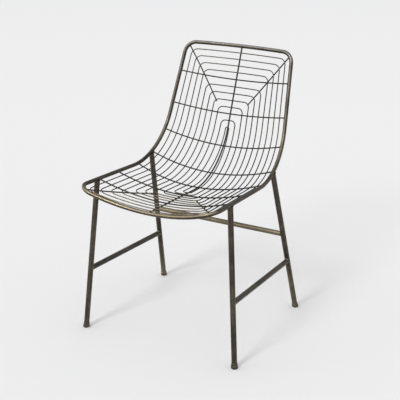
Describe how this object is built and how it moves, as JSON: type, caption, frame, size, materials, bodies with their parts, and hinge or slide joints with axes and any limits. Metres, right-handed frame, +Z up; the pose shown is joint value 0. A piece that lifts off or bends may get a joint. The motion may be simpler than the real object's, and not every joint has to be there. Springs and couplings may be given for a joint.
{
  "type": "side chair",
  "caption": "Armless metal side chair: a dished shell of nested wire loops, seat and back in one, held in a bent bar rim on splayed tube legs joined by stretchers.",
  "frame": {"origin": "on the floor, at the middle of the part's bounding box", "axes": "+Z up from the floor, -Y the way a sitter faces, +X to the right of someone who faces the chair"},
  "size_m": [0.5412, 0.596, 0.8212],
  "materials": {
    "frame_bronze": "aged bronze coat on steel, darker in the corners, worn paler on the rim and stretchers",
    "wire_bronze": "aged bronze coat on steel wire, darker than the frame",
    "glide_plastic": "black nylon"
  },
  "bodies": {
    "root": {"back_cross_wire_lower": "wire_bronze", "back_cross_wire_middle": "wire_bronze", "back_cross_wire_upper": "wire_bronze", "bend_cross_wire": "wire_bronze", "front_corner_wire_left": "wire_bronze", "front_corner_wire_right": "wire_bronze", "front_left_glide": "glide_plastic", "front_left_leg": "frame_bronze", "front_right_glide": "glide_plastic", "front_right_leg": "frame_bronze", "loop_wire_01": "wire_bronze", "loop_wire_02": "wire_bronze", "loop_wire_03": "wire_bronze", "loop_wire_04": "wire_bronze", "loop_wire_05": "wire_bronze", "loop_wire_06": "wire_bronze", "loop_wire_07": "wire_bronze", "loop_wire_08": "wire_bronze", "loop_wire_09": "wire_bronze", "loop_wire_10": "wire_bronze", "rear_left_glide": "glide_plastic", "rear_left_leg": "frame_bronze", "rear_right_glide": "glide_plastic", "rear_right_leg": "frame_bronze", "rear_stretcher": "frame_bronze", "rim": "frame_bronze", "seat_cross_wire_front": "wire_bronze", "seat_cross_wire_middle": "wire_bronze", "seat_cross_wire_rear": "wire_bronze", "side_stretcher_left": "frame_bronze", "side_stretcher_right": "frame_bronze", "spine_wire": "wire_bronze", "top_corner_wire_left": "wire_bronze", "top_corner_wire_right": "wire_bronze"}
  },
  "joints": []
}
